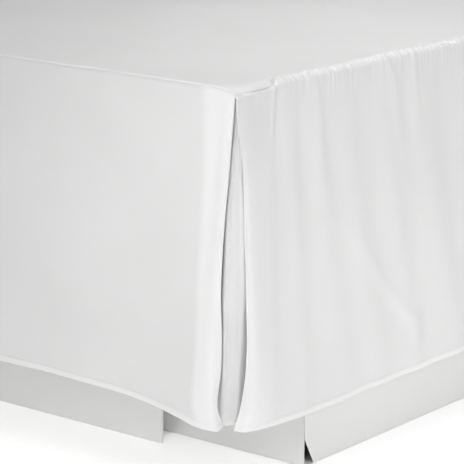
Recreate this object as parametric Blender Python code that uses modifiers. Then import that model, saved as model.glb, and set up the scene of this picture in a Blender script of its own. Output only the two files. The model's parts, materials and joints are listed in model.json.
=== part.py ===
"""Bed skirt with split corners, hanging on a plain bed base.

Metres, +Z up, floor at Z 0. The foot of the bed faces -Y.
The skirt is a deck sheet, a flat foot panel, two lightly gathered side
panels and an underlay behind each split corner. The base is a plain
foundation on a plinth of thin boards.
"""
import math
import bpy
import bmesh
import numpy as np
from mathutils import Vector

# ---------- driving dimensions ----------
BED_WIDTH = 1.524          # deck cloth, side seam to side seam
BED_LENGTH = 2.032         # deck cloth, foot seam to head hem
DECK_HEIGHT = 0.480        # top of the deck cloth above the floor
FOOT_DROP = 0.3793         # cut length of the foot panel
SIDE_DROP = 0.3832         # and of the side panels
CLOTH = 0.0015             # thickness of one sheet of cloth
GAP = 0.0003               # clearance between pieces that touch

SIDE_SEAM_SAG = 0.004      # the gathered side seam slips over the edge
SEAM_ROLL = 0.014          # width over which the deck rolls down to that seam
CORNER_SAG = 0.005         # the deck corner is drawn down by the split
CORNER_REACH = 0.018       # how far along each seam that shows

RISE_START = 0.07          # a panel stays upright over about this share of its drop, then leans
FOOT_FLARE = 0.058         # the foot panel stands out this far at the hem corner
FOOT_FLARE_REACH = 0.096   # and falls back to the upright over this length
FOOT_FLARE_POWER = 1.5
FOOT_REST = 0.0005         # outward lean of the foot panel between its corners
SIDE_LEAN = 0.043          # the gathers push the side hem this far out
UNDERLAY_DROP = 0.3718     # the underlay is cut a little shorter
UNDERLAY_INSET = 0.0022    # the underlay's seam runs this far inside the deck's edges
UNDERLAY_TUCK = 0.50       # behind a panel it follows this share of the panel's lean

FOUNDATION_INSET = 0.006   # foundation side behind the deck seam
FOUNDATION_ROUND = 0.022
PLINTH_HEIGHT = 0.200
BOARD = 0.018              # plinth board thickness
SIDE_BOARD_INSET = 0.014   # side boards behind the deck seam
FOOT_BOARD_INSET = 0.147   # recessed foot board behind the deck seam
MITRE_OPENING = 0.018      # the mitre of the side board gapes this far at the floor
MITRE_OPEN_HEIGHT = 0.034  # and closes at this height
FASCIA_INSET = 0.105       # front board behind the deck seam
FASCIA_END = 0.201         # front board ends this far from each corner
FASCIA = 0.004
CLEAT_WIDTH = 0.060
CLEAT_HEIGHT = 0.150
CLEAT_FROM_END = 0.150

# The foot panel's greatest outward reach; it sets the box, so the model is centred on it.
FOOT_REACH = 0.0598

LEVELS = (0, 0.05, 0.13, 0.24, 0.38, 0.54, 0.70, 0.83, 0.93, 1)

# Free corner edges, level by level (0 at the seam, 1 at the hem).
# past: beyond the corner, along the seam; out: outward from the seam plane.
# The edge is the cloth's end, the nose is the bend that leads to it.
FOOT_CORNER = (
    {"level": 0.00, "edge_past": -0.0020, "edge_out": 0.0000, "nose_past": -0.010, "nose_out": 0.0000},
    {"level": 0.13, "edge_past": -0.0018, "edge_out": 0.0064, "nose_past": -0.010, "nose_out": 0.0090},
    {"level": 0.26, "edge_past": 0.0010, "edge_out": 0.0172, "nose_past": -0.008, "nose_out": 0.0205},
    {"level": 0.37, "edge_past": 0.0020, "edge_out": 0.0246, "nose_past": -0.007, "nose_out": 0.0285},
    {"level": 0.61, "edge_past": 0.0056, "edge_out": 0.0342, "nose_past": -0.004, "nose_out": 0.0440},
    {"level": 0.82, "edge_past": 0.0090, "edge_out": 0.0402, "nose_past": 0.001, "nose_out": 0.0540},
    {"level": 0.93, "edge_past": 0.0090, "edge_out": 0.0452, "nose_past": 0.005, "nose_out": 0.0570},
    {"level": 1.00, "edge_past": 0.0045, "edge_out": 0.0332, "nose_past": 0.006, "nose_out": 0.0580},
)
SIDE_CORNER = (
    {"level": 0.00, "edge_past": 0.0044, "edge_out": 0.0000, "nose_past": -0.010, "nose_out": 0.0000},
    {"level": 0.16, "edge_past": 0.0052, "edge_out": 0.0082, "nose_past": -0.008, "nose_out": 0.0100},
    {"level": 0.37, "edge_past": 0.0107, "edge_out": 0.0182, "nose_past": -0.003, "nose_out": 0.0220},
    {"level": 0.60, "edge_past": 0.0187, "edge_out": 0.0272, "nose_past": 0.004, "nose_out": 0.0330},
    {"level": 0.82, "edge_past": 0.0221, "edge_out": 0.0284, "nose_past": 0.008, "nose_out": 0.0377},
    {"level": 0.93, "edge_past": 0.0244, "edge_out": 0.0223, "nose_past": 0.014, "nose_out": 0.0361},
    {"level": 1.00, "edge_past": 0.0251, "edge_out": 0.0140, "nose_past": 0.019, "nose_out": 0.0315},
)

# Soft folds of a side panel near the foot, from where each leaves the seam to where it meets the hem.
SIDE_FOLDS = (
    {"name": "hem turn", "seam": 0.062, "hem": 0.019, "depth": 0.0035},
    {"name": "crest", "seam": 0.094, "hem": 0.070, "depth": 0.0000},
    {"name": "trough", "seam": 0.112, "hem": 0.100, "depth": 0.0030},
    {"name": "crest", "seam": 0.130, "hem": 0.150, "depth": 0.0000},
    {"name": "trough", "seam": 0.160, "hem": 0.192, "depth": 0.0042},
    {"name": "crest", "seam": 0.196, "hem": 0.226, "depth": 0.0005},
    {"name": "trough", "seam": 0.232, "hem": 0.262, "depth": 0.0036},
    {"name": "crest", "seam": 0.270, "hem": 0.300, "depth": 0.0000},
    {"name": "trough", "seam": 0.306, "hem": 0.334, "depth": 0.0045},
)
FOLD_STEP = 0.042          # mean crest to trough past that table
FOLD_DEPTH = 0.0050
FOLD_TRAVEL = 1.4          # a fold moves along the cloth mostly near the hem
SIDE_SEEDS = {"left": 4, "right": 9}

# Where the underlay shows behind the split, level by level: points in plan from the foot panel's
# edge to the side panel's. x and y are measured from the deck corner; - y is out from the foot.
UNDERLAY_SPLIT = (
    {"level": 0.00, "left": (-0.0050, 0.0022), "mid_left": (-0.0022, 0.0034),
     "mid_right": (-0.0022, 0.0068), "right": (-0.0022, 0.0120)},
    {"level": 0.15, "left": (-0.0076, -0.0048), "mid_left": (-0.0030, -0.0043),
     "mid_right": (0.0017, -0.0037), "right": (0.0055, -0.0020)},
    {"level": 0.37, "left": (-0.0052, -0.0183), "mid_left": (0.0027, -0.0177),
     "mid_right": (0.0096, -0.0144), "right": (0.0145, -0.0093)},
    {"level": 0.61, "left": (-0.0023, -0.0275), "mid_left": (0.0067, -0.0260),
     "mid_right": (0.0141, -0.0239), "right": (0.0214, -0.0155)},
    {"level": 0.85, "left": (0.0005, -0.0342), "mid_left": (0.0085, -0.0329),
     "mid_right": (0.0141, -0.0303), "right": (0.0222, -0.0181)},
    {"level": 1.00, "left": (-0.0047, -0.0306), "mid_left": (0.0028, -0.0291),
     "mid_right": (0.0066, -0.0274), "right": (0.0133, -0.0182)},
)

# Low ridges left in the deck cloth, each from one point to another.
DECK_RIDGES = (
    {"from": (0.290, -0.610), "to": (0.560, -0.330), "height": 0.0040, "width": 0.050},
    {"from": (-0.420, -0.820), "to": (-0.150, -0.560), "height": 0.0035, "width": 0.060},
    {"from": (-0.560, 0.560), "to": (-0.300, 0.820), "height": 0.0035, "width": 0.055},
    {"from": (0.330, 0.600), "to": (0.600, 0.760), "height": 0.0030, "width": 0.050},
)

HALF_WIDTH = BED_WIDTH / 2
FOOT_Y = (FOOT_REACH - BED_LENGTH) / 2
HEAD_Y = FOOT_Y + BED_LENGTH
SEAM_OUT = GAP + CLOTH / 2     # middle of a panel outside the deck's edge


# ---------- small tools ----------
def clear_scene():
    for old in list(bpy.data.objects):
        bpy.data.objects.remove(old)


def make_material(name, colour, roughness):
    material = bpy.data.materials.new(name)
    material.use_nodes = True
    shader = material.node_tree.nodes["Principled BSDF"]
    shader.inputs["Base Color"].default_value = (*colour, 1.0)
    shader.inputs["Roughness"].default_value = roughness
    shader.inputs["Metallic"].default_value = 0.0
    return material


def smooth_curve(knots, values, where):
    """Cubic curve through the values, with a slope at each knot from its neighbours."""
    knots = np.asarray(knots, float)
    values = np.asarray(values, float)
    slopes = np.gradient(values, knots, axis=0)
    span = int(np.clip(np.searchsorted(knots, where) - 1, 0, len(knots) - 2))
    width = knots[span + 1] - knots[span]
    s = (where - knots[span]) / width
    return ((2 * s**3 - 3 * s**2 + 1) * values[span] + (s**3 - 2 * s**2 + s) * width * slopes[span]
            + (3 * s**2 - 2 * s**3) * values[span + 1] + (s**3 - s**2) * width * slopes[span + 1])


def corner_row(table, level):
    """The corner table's columns at one level."""
    names = ("edge_past", "edge_out", "nose_past", "nose_out")
    rows = [[row[name] for name in names] for row in table]
    return smooth_curve([row["level"] for row in table], rows, level)


def rise(level):
    return (level - RISE_START * (1 - math.exp(-level / RISE_START))) / (1 - RISE_START)


def sheet_object(name, columns, rows, place, material):
    """A grid of columns by rows, moved point by point with place(column, row), then thickened."""
    mesh = bpy.data.meshes.new(name)
    grid = bmesh.new()
    bmesh.ops.create_grid(grid, x_segments=columns, y_segments=rows, size=0.5)
    for vertex in grid.verts:
        column = round((vertex.co.x + 0.5) * columns)
        row = round((0.5 - vertex.co.y) * rows)
        vertex.co = place(column, row)
    grid.to_mesh(mesh)
    grid.free()
    sheet = bpy.data.objects.new(name, mesh)
    mesh.materials.append(material)
    mesh.shade_smooth()
    thickness = sheet.modifiers.new("cloth thickness", "SOLIDIFY")
    thickness.thickness = CLOTH
    thickness.offset = 0.0
    thickness.use_even_offset = True
    return sheet


def hang(column, seam_height, drop):
    """Heights down one column, so that the cloth keeps its cut length as it leans out."""
    heights = [seam_height]
    for row in range(1, len(LEVELS)):
        step = (LEVELS[row] - LEVELS[row - 1]) * drop
        across = column[row] - column[row - 1]
        down = math.sqrt(max(step**2 - across @ across, (0.7 * step) ** 2))
        heights.append(heights[-1] - down)
    return heights


def hung_panel(name, plans, seam_heights, drop, turn, material):
    """plans[level][column] is a point (along, out); turn() sets it in the room."""
    columns = len(plans[0]) - 1
    plans = np.asarray(plans)
    heights = [hang(plans[:, column], seam_heights[column], drop) for column in range(columns + 1)]

    def place(column, row):
        along, out = plans[row][column]
        return turn(along, out, heights[column][row])

    return sheet_object(name, columns, len(LEVELS) - 1, place, material)


def corner_sag(distance):
    return CORNER_SAG * math.exp(-(max(distance, 0) / CORNER_REACH) ** 2)


# ---------- skirt ----------
def foot_lean(distance):
    """Outward lean of the foot hem at a distance from the nearer corner."""
    flare = math.exp(-(distance / FOOT_FLARE_REACH) ** FOOT_FLARE_POWER)
    return FOOT_REST + (FOOT_FLARE - FOOT_REST) * flare


def foot_plan(level):
    """The foot panel in plan at one level, from the left corner to the right."""
    edge_past, edge_out, nose_past, nose_out = corner_row(FOOT_CORNER, level)
    distances = (0.022, 0.050, 0.085, 0.125, 0.180, 0.260, 0.380, 0.520, 0.660)
    half = [(HALF_WIDTH + edge_past, edge_out), (HALF_WIDTH + nose_past, nose_out)]
    half += [(HALF_WIDTH - distance, foot_lean(distance) * rise(level)) for distance in distances]
    middle = [(0.0, FOOT_REST * rise(level))]
    knots = [(-along, out) for along, out in half] + middle + half[::-1]
    stations = [0, 0.4, 0.75, 1, 1.5, 2, 2.5, 3, 3.5] + list(range(4, 18))
    stations += [len(knots) - 1 - station for station in (3.5, 3, 2.5, 2, 1.5, 1, 0.75, 0.4, 0)]
    return [smooth_curve(range(len(knots)), knots, station) for station in stations]


def make_foot_panel(material):
    plans = [foot_plan(level) for level in LEVELS]
    seams = [DECK_HEIGHT - corner_sag(HALF_WIDTH - abs(along)) for along, _ in plans[0]]

    def turn(along, out, height):
        return (along, FOOT_Y - SEAM_OUT - out, height)

    return hung_panel("foot_drop", plans, seams, FOOT_DROP, turn, material)


def side_fold_rows(seed):
    """The named folds near the foot, then like ones at uneven spacing to the head."""
    rows = [(fold["seam"], fold["hem"], fold["depth"]) for fold in SIDE_FOLDS]
    dice = np.random.default_rng(seed)
    seam, hem = rows[-1][:2]
    trough = False
    while seam < BED_LENGTH - 2.2 * FOLD_STEP:
        step = FOLD_STEP * dice.uniform(0.75, 1.25)
        seam += step
        hem += (BED_LENGTH - hem) / (BED_LENGTH - seam + step) * step
        rows.append((seam, hem, FOLD_DEPTH * dice.uniform(0.6, 1.0) if trough else 0.0))
        trough = not trough
    rows.append((BED_LENGTH, BED_LENGTH, 0.001))
    return rows


def side_plan(level, folds):
    """A side panel in plan at one level, from the split corner to the head."""
    edge_past, edge_out, nose_past, nose_out = corner_row(SIDE_CORNER, level)
    lean = SIDE_LEAN * rise(level)
    knots = [(-edge_past, edge_out), (-nose_past, nose_out)]
    for seam, hem, depth in folds:
        slack = depth * math.sin(math.pi * min(rise(level) * 2.2, 0.5)) * (1 - 0.4 * level)
        knots.append((seam + (hem - seam) * level**FOLD_TRAVEL, lean - slack))
    stations = [0, 0.4, 0.75, 1, 1.35, 1.7] + [2 + half / 2 for half in range(2 * len(knots) - 5)]
    return [smooth_curve(range(len(knots)), knots, station) for station in stations]


def make_side_panel(name, side, seed, material):
    folds = side_fold_rows(seed)
    plans = [side_plan(level, folds) for level in LEVELS]
    seams = [DECK_HEIGHT - SIDE_SEAM_SAG - corner_sag(along) / 4 for along, _ in plans[0]]

    def turn(along, out, height):
        return (side * (HALF_WIDTH + SEAM_OUT + out), FOOT_Y + along, height)

    return hung_panel(name, plans, seams, SIDE_DROP, turn, material)


def underlay_plan(level):
    """An underlay in plan at one level, from under the foot panel round to under the side panel."""
    names = ("left", "mid_left", "mid_right", "right")
    rows = [[row[name] for name in names] for row in UNDERLAY_SPLIT]
    shown = smooth_curve([row["level"] for row in UNDERLAY_SPLIT], rows, level)
    behind_foot = [(-distance, UNDERLAY_INSET - UNDERLAY_TUCK * foot_lean(distance) * rise(level))
                   for distance in (0.125, 0.060, 0.028)]
    side_out = UNDERLAY_TUCK * SIDE_LEAN * rise(level) - UNDERLAY_INSET
    behind_side = [(side_out, distance) for distance in (0.030, 0.125)]
    knots = behind_foot + list(shown) + behind_side
    stations = [station / 2 for station in range(2 * len(knots) - 1)]
    return [smooth_curve(range(len(knots)), knots, station) for station in stations]


def make_underlay(name, side, material):
    plans = [underlay_plan(level) for level in LEVELS]
    seams = [DECK_HEIGHT - SIDE_SEAM_SAG - CLOTH - CORNER_SAG] * len(plans[0])

    def turn(across, along, height):
        return (side * (HALF_WIDTH + across), FOOT_Y + along, height)

    return hung_panel(name, plans, seams, UNDERLAY_DROP, turn, material)


def deck_height(x, y):
    """Middle of the deck cloth: flat, with rolled side edges, drawn-down corners and low ridges."""
    from_side = HALF_WIDTH - abs(x)
    from_foot = y - FOOT_Y
    roll = SIDE_SEAM_SAG * max(0.0, 1 - from_side / SEAM_ROLL) ** 2
    sag = corner_sag(math.hypot(from_side, from_foot))
    lift = 0.0
    for ridge in DECK_RIDGES:
        start = np.array(ridge["from"])
        run = np.array(ridge["to"]) - start
        offset = np.array((x, y)) - start
        portion = offset @ run / (run @ run)
        aside = (run[0] * offset[1] - run[1] * offset[0]) / math.hypot(*run)
        fade = math.exp(-(2.2 * (portion - 0.5)) ** 4)
        lift += ridge["height"] * fade * math.exp(-(aside / ridge["width"]) ** 2)
    return DECK_HEIGHT - CLOTH / 2 - roll - sag + lift


def make_deck(material):
    edges = (0, 0.007, 0.014, 0.03)
    across = [-HALF_WIDTH + edge for edge in edges]
    across += list(np.linspace(-HALF_WIDTH + 0.09, HALF_WIDTH - 0.09, 17))
    across += [HALF_WIDTH - edge for edge in edges[::-1]]
    along = [FOOT_Y + edge for edge in edges] + list(np.linspace(FOOT_Y + 0.09, HEAD_Y, 21))

    def place(column, row):
        x, y = across[column], along[row]
        return (x, y, deck_height(x, y))

    return sheet_object("deck", len(across) - 1, len(along) - 1, place, material)


# ---------- bed base ----------
def make_block(name, low, high, material, rounding=0.0):
    """A box between two corners, with rounded edges where asked."""
    mesh = bpy.data.meshes.new(name)
    block = bmesh.new()
    bmesh.ops.create_cube(block, size=1.0)
    size = [top - bottom for bottom, top in zip(low, high)]
    bmesh.ops.scale(block, vec=size, verts=block.verts)
    block.to_mesh(mesh)
    block.free()
    mesh.materials.append(material)
    box = bpy.data.objects.new(name, mesh)
    box.location = [(bottom + top) / 2 for bottom, top in zip(low, high)]
    if rounding:
        bevel = box.modifiers.new("rounded edges", "BEVEL")
        bevel.width = rounding
        bevel.segments = 3
    return box


def cut_end(piece, point, outward):
    """Cuts a piece's mesh with a plane through a point of the room and closes the cut."""
    mesh = bmesh.new()
    mesh.from_mesh(piece.data)
    everything = mesh.verts[:] + mesh.edges[:] + mesh.faces[:]
    cut = bmesh.ops.bisect_plane(
        mesh, geom=everything, plane_co=Vector(point) - piece.location, plane_no=outward, clear_outer=True)
    rim = [item for item in cut["geom_cut"] if isinstance(item, bmesh.types.BMEdge)]
    bmesh.ops.edgeloop_fill(mesh, edges=rim)
    bmesh.ops.recalc_face_normals(mesh, faces=mesh.faces)
    mesh.to_mesh(piece.data)
    mesh.free()


def make_side_board(name, side, material):
    """A long board with a mitred front end, which gapes towards the floor."""
    foot = FOOT_Y + FOOT_BOARD_INSET + GAP
    outer = HALF_WIDTH - SIDE_BOARD_INSET
    low_x, high_x = sorted((side * outer, side * (outer - BOARD)))
    board = make_block(name, (low_x, foot, 0.0), (high_x, HEAD_Y - FOOT_BOARD_INSET, PLINTH_HEIGHT), material)
    corner = (side * outer, foot, MITRE_OPEN_HEIGHT)
    cut_end(board, corner, (-side, -1.0, 0.0))
    cut_end(board, corner, (-side, -1.0, -MITRE_OPENING / MITRE_OPEN_HEIGHT))
    return board


def make_base(cloth, board):
    foot = FOOT_Y + FOOT_BOARD_INSET
    outer = HALF_WIDTH - SIDE_BOARD_INSET
    inner = outer - BOARD - GAP
    half = HALF_WIDTH - FOUNDATION_INSET
    head = HEAD_Y - FOOT_BOARD_INSET
    foundation = make_block(
        "bed_foundation", (-half, FOOT_Y + FOUNDATION_INSET, PLINTH_HEIGHT + GAP),
        (half, HEAD_Y - FOUNDATION_INSET, DECK_HEIGHT - CLOTH - GAP), cloth, FOUNDATION_ROUND)
    foot_board = make_block("plinth_foot", (-outer, foot, 0.0), (outer, foot + BOARD, PLINTH_HEIGHT), board)
    for side in (-1, 1):
        cut_end(foot_board, (side * (outer - GAP), foot, 0.0), (side, 1.0, 0.0))
    head_board = make_block("plinth_head", (-inner, head - BOARD, 0.0), (inner, head, PLINTH_HEIGHT), board)

    fascia_back = FOOT_Y + FASCIA_INSET + FASCIA
    fascia_half = HALF_WIDTH - FASCIA_END
    fascia = make_block(
        "plinth_fascia", (-fascia_half, fascia_back - FASCIA, 0.0),
        (fascia_half, fascia_back, PLINTH_HEIGHT), board)
    pieces = [foundation, foot_board, head_board, fascia]
    for side, name in ((-1, "left"), (1, "right")):
        pieces.append(make_side_board("plinth_side_" + name, side, board))
        middle = side * (fascia_half - CLEAT_FROM_END)
        pieces.append(make_block(
            "fascia_cleat_" + name, (middle - CLEAT_WIDTH / 2, fascia_back + GAP, 0.0),
            (middle + CLEAT_WIDTH / 2, foot - GAP, CLEAT_HEIGHT), board))
    return pieces


# ---------- the whole ----------
def build():
    clear_scene()
    white_cloth = make_material("white_cloth", (0.83, 0.83, 0.82), 0.85)
    base_cloth = make_material("base_cloth", (0.74, 0.73, 0.70), 0.9)
    painted_board = make_material("painted_board", (0.62, 0.62, 0.60), 0.6)

    pieces = [make_deck(white_cloth), make_foot_panel(white_cloth)]
    for side, name in ((-1, "left"), (1, "right")):
        pieces.append(make_side_panel("side_drop_" + name, side, SIDE_SEEDS[name], white_cloth))
        pieces.append(make_underlay("corner_underlay_" + name, side, white_cloth))
    pieces += make_base(base_cloth, painted_board)

    collection = bpy.data.collections.new("bed_skirt")
    bpy.context.scene.collection.children.link(collection)
    origin = bpy.data.objects.new("bed_skirt_origin", None)
    collection.objects.link(origin)
    for piece in pieces:
        collection.objects.link(piece)
        piece.parent = origin


build()
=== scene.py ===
import json
import math
import bpy
import numpy as np
from mathutils import Matrix, Vector


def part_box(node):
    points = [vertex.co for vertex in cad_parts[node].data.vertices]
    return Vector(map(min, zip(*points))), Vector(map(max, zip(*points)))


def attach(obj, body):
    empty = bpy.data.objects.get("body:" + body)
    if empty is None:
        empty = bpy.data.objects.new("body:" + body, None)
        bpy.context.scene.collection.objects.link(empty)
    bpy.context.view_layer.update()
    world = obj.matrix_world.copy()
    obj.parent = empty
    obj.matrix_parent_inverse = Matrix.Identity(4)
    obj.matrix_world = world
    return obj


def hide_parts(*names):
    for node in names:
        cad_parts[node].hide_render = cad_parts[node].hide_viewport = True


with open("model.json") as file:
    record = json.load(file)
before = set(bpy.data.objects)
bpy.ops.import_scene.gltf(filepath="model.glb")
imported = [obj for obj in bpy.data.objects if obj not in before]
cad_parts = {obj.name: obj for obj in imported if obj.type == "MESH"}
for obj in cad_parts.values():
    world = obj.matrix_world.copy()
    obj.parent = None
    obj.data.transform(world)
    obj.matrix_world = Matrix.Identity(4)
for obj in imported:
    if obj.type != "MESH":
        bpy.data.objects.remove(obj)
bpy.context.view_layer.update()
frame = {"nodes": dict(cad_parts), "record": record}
print("frame loaded")

# Metres, +Z up, the foot of the bed faces -Y. Sizes of the whole come from the frame.
deckLow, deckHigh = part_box("deck")
mountPlaces = {mount["name"]: mount["pos_m"] for mount in frame["record"]["mounts"]}
bed = {
    "half": deckHigh.x,  # side seam from the middle
    "footY": deckLow.y, "headY": deckHigh.y, "length": deckHigh.y - deckLow.y,
    "deckTop": mountPlaces["mattress_rest"][2],
    "cloth": 0.0009,  # one layer of the skirt's cotton
    "footDrop": 0.3793, "sideDrop": 0.3832,  # cut lengths of the hanging panels
    "panelOut": 0.00105,  # middle of a panel outside the deck's edge
    "cornerSag": 0.005, "cornerSagReach": 0.018,
}
sideSigns = {"left": -1, "right": 1}


# ways to work out curves and grids of cloth
def smoothStep(low, high, value):
    t = np.clip((value - low) / (high - low), 0, 1)
    return t * t * (3 - 2 * t)


def stepAt(place, width, value):
    return smoothStep(place - width, place + width, value)


def hump(offset, width):
    return np.exp(-(offset / width) ** 2)


def curveThrough(knots, values, where):
    # a smooth curve through the values at the knots
    knots, values, where = np.asarray(knots, float), np.asarray(values, float), np.asarray(where, float)
    slopes = np.gradient(values, knots, axis=0)
    span = np.clip(np.searchsorted(knots, where) - 1, 0, len(knots) - 2)
    width = knots[span + 1] - knots[span]
    s = (where - knots[span]) / width
    if values.ndim > 1:
        s, width = s[..., None], width[..., None]
    gap, leave, arrive = values[span + 1] - values[span], width * slopes[span], width * slopes[span + 1]
    return values[span] + s * (leave + s * (3 * gap - 2 * leave - arrive + s * (leave + arrive - 2 * gap)))


def spacing(start, *stretches):
    # places from start on; a stretch is (where it ends, step)
    places = [start]
    for end, step in stretches:
        count = max(1, round((end - places[-1]) / step))
        places += list(np.linspace(places[-1], end, count + 1)[1:])
    return np.array(places)


def inMetres(rows):
    return [tuple(value / 1000 for value in row) for row in rows]


def joined(*parts):
    return np.concatenate(parts)


def stacked(*parts):
    return np.stack(np.broadcast_arrays(*parts), axis=2)


def travel(points):
    # distances along a line of points
    return joined([0], np.cumsum(np.linalg.norm(np.diff(points, axis=0), axis=1)))


def gridNormals(grid):
    across = np.cross(np.gradient(grid, axis=0), np.gradient(grid, axis=1))
    return across / np.linalg.norm(across, axis=2, keepdims=True)


def raised(grid, relief, sign=1):
    return grid + sign * gridNormals(grid) * relief[..., None]


def sampleGrid(grid, rows, columns):
    # values between the grid's points, at fractional rows and columns
    r = np.clip(np.floor(rows).astype(int), 0, grid.shape[0] - 2)
    c = np.clip(np.floor(columns).astype(int), 0, grid.shape[1] - 2)
    a, b = (rows - r)[:, None], (columns - c)[:, None]
    return ((1 - a) * (1 - b) * grid[r, c] + (1 - a) * b * grid[r, c + 1]
            + a * (1 - b) * grid[r + 1, c] + a * b * grid[r + 1, c + 1])


def softRidge(along, down, path, probe=0.002, fadeAbove=0.012, fadeBelow=0.02):
    # a low ridge or trough; path rows are along, down, height, width
    centres, levels, heights, widths = np.transpose(path)
    where = np.clip(down, levels[0], levels[-1])
    centre = curveThrough(levels, centres, where)
    slope = (curveThrough(levels, centres, np.clip(where + probe, levels[0], levels[-1])) - centre) / probe
    above, below = np.maximum(levels[0] - down, 0), np.maximum(down - levels[-1], 0)
    height = np.interp(where, levels, heights) * hump(above, fadeAbove) * hump(below, fadeBelow)
    return height * hump((along - centre) / np.sqrt(1 + slope**2), np.interp(where, levels, widths))


def softDents(along, down, dents):
    # broad hollows and swells; rows are along, down, length along, length down, height
    return sum(height * hump(along - place, wide) * hump(down - depth, tall)
               for place, depth, wide, tall, height in dents)


def unevenness(along, down, seed, length, height, waves=9, usualSum=4.2):
    # slow random swell of the cloth, a sum of a few waves
    dice = np.random.default_rng(seed)
    relief = 0
    for _ in range(waves):
        turn = dice.uniform(0, math.tau)
        wave = math.tau / (length * dice.uniform(0.7, 1.8))
        shift = dice.uniform(0, math.tau)
        relief = relief + np.sin(wave * (along * math.cos(turn) + down * math.sin(turn)) + shift)
    return height * relief / usualSum


def clothSwells(along, down, rows, seedShift=0):
    # swells that fade out towards the seam; rows are seed, length, height, reach of the fade
    return sum(unevenness(along, down, seed + seedShift, *wave) * smoothStep(0, fade, down)
               for seed, *wave, fade in rows)


# ways to make meshes
def placeObject(name, data):
    thing = bpy.data.objects.new(name, data)
    bpy.context.scene.collection.objects.link(thing)
    return thing


def meshObject(name, points, faces, material, places=None):
    mesh = bpy.data.meshes.new(name)
    mesh.from_pydata(points, [], faces)
    mesh.materials.append(material)
    mesh.shade_smooth()
    if places is not None:
        corners = np.zeros(len(mesh.loops), int)
        mesh.loops.foreach_get("vertex_index", corners)
        layer = mesh.uv_layers.new(name="clothPlace")
        layer.data.foreach_set("uv", places[corners].ravel())
    return placeObject(name, mesh)


def clothSheet(name, grid, places, half, material, fine=None, kept=None):
    # a closed sheet round the grid; half is half its thickness. The fine rows hold every column,
    # the others the kept ones
    rowCount, columnCount = grid.shape[:2]
    fine = np.ones(rowCount, bool) if fine is None else fine
    kept = np.arange(columnCount) if kept is None else kept
    held = np.zeros((rowCount, columnCount), bool)
    held[fine] = True
    held[:, kept] = True
    number = np.cumsum(held).reshape(held.shape) - 1
    faces = []
    for row in range(rowCount - 1):
        top, low = number[row], number[row + 1]
        columns = range(columnCount) if fine[row] and fine[row + 1] else kept
        for a, b in zip(columns[:-1], columns[1:]):
            lower = list(low[a:b + 1]) if fine[row + 1] else [low[a], low[b]]
            upper = list(top[a:b + 1]) if fine[row] else [top[a], top[b]]
            faces.append([int(index) for index in lower + upper[::-1]])
    edges = {(face[i - 1], face[i]) for face in faces for i in range(len(face))}
    rim = [edge for edge in edges if edge[::-1] not in edges]
    count = int(held.sum())
    normals = gridNormals(grid)[held]
    middle, thick = grid[held], half[held][:, None]
    points = np.vstack((middle + normals * thick, middle - normals * thick))
    back = [[index + count for index in reversed(face)] for face in faces]
    sides = [[b, a, a + count, b + count] for a, b in rim]
    return meshObject(name, points, faces + back + sides, material, np.vstack((places[held], places[held])))


def roundedRim(distance, width, thinnest=0.2):
    # share of the full thickness near a free edge, so that the edge is round
    return np.maximum(np.sqrt(1 - np.clip(1 - distance / width, 0, 1) ** 2), thinnest)


stitch = {
    "pitch": 0.0031, "length": 0.0023, "width": 0.00042, "start": 0.0004, "offHem": 0.0006,
    "step": 0.002, "offBottom": 0.001,  # of the routes that they follow
    "dimple": 0.00016, "dimpleWidth": 0.0009,
    "rings": ((0.14, 0.72), (0.5, 1.0), (0.86, 0.72)),  # places along it and sizes
    "ringPoints": 5, "raised": 0.12, "sunk": 0.1,  # shares of its width, in the middle and at the tips
}


def stitchShape():
    # points in lengths, widths and widths: a tip, the rings and a tip
    count, rings = stitch["ringPoints"], len(stitch["rings"])
    turns = np.arange(count) * math.tau / count + math.pi / 2
    points = [(0.0, 0.0, -stitch["sunk"])]
    points += [(place, size * math.cos(turn) / 2, size * math.sin(turn) / 2 + stitch["raised"])
               for place, size in stitch["rings"] for turn in turns]
    points.append((1.0, 0.0, -stitch["sunk"]))
    faces = []
    for i in range(count):
        after, last = (i + 1) % count, 1 + count * (rings - 1)
        faces += [(0, 1 + after, 1 + i), (len(points) - 1, last + i, last + after)]
        faces += [(a + i, a + after, a + count + after, a + count + i) for a in range(1, last, count)]
    return points, faces


def stitchRows(name, grid, half, downs, alongs, routes, lift, thread):
    # thread stitches on the face of a panel; a route holds (down, along) at even steps
    normals = gridNormals(grid)
    outer = grid + lift * normals * half[..., None]
    template, faces = stitchShape()
    points, allFaces = [], []
    for route in routes:
        rows = np.interp(route[:, 0], downs, np.arange(len(downs)))
        columns = np.interp(route[:, 1], alongs, np.arange(len(alongs)))
        line, uprights = sampleGrid(outer, rows, columns), lift * sampleGrid(normals, rows, columns)
        travelled = travel(line)
        starts = np.arange(stitch["start"], travelled[-1] - stitch["length"], stitch["pitch"])
        heads, tails, ups = [
            np.stack([np.interp(places, travelled, values[:, axis]) for axis in range(3)], axis=1)
            for places, values in ((starts, line), (starts + stitch["length"], line), (starts, uprights))]
        for head, tail, up in zip(heads, tails, ups):
            run = tail - head
            side = np.cross(up, run)
            side /= np.linalg.norm(side)
            allFaces += [tuple(index + len(points) for index in face) for face in faces]
            points += [head + x * run + (y * side + z * up) * stitch["width"] for x, y, z in template]
    return meshObject(name, points, allFaces, thread)


def stitchRoute(down, along):
    return np.stack(np.broadcast_arrays(down, along), axis=1)


def sideFall(piece, hemRow):
    return np.arange(piece["stitchTop"], hemRow - stitch["offBottom"], stitch["step"])


def stitchDimple(offset):
    return -stitch["dimple"] * hump(offset, stitch["dimpleWidth"])


# shader maths: an expression on wires adds the Math nodes that work it out
class Wire:
    def __init__(self, paint, socket):
        self.paint, self.socket = paint, socket

    def __add__(self, other):
        return self.paint.maths("ADD", self, other)

    def __sub__(self, other):
        return self.paint.maths("SUBTRACT", self, other)

    def __rsub__(self, other):
        return self.paint.maths("SUBTRACT", other, self)

    def __mul__(self, other):
        return self.paint.maths("MULTIPLY", self, other)

    __radd__, __rmul__ = __add__, __mul__


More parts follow.
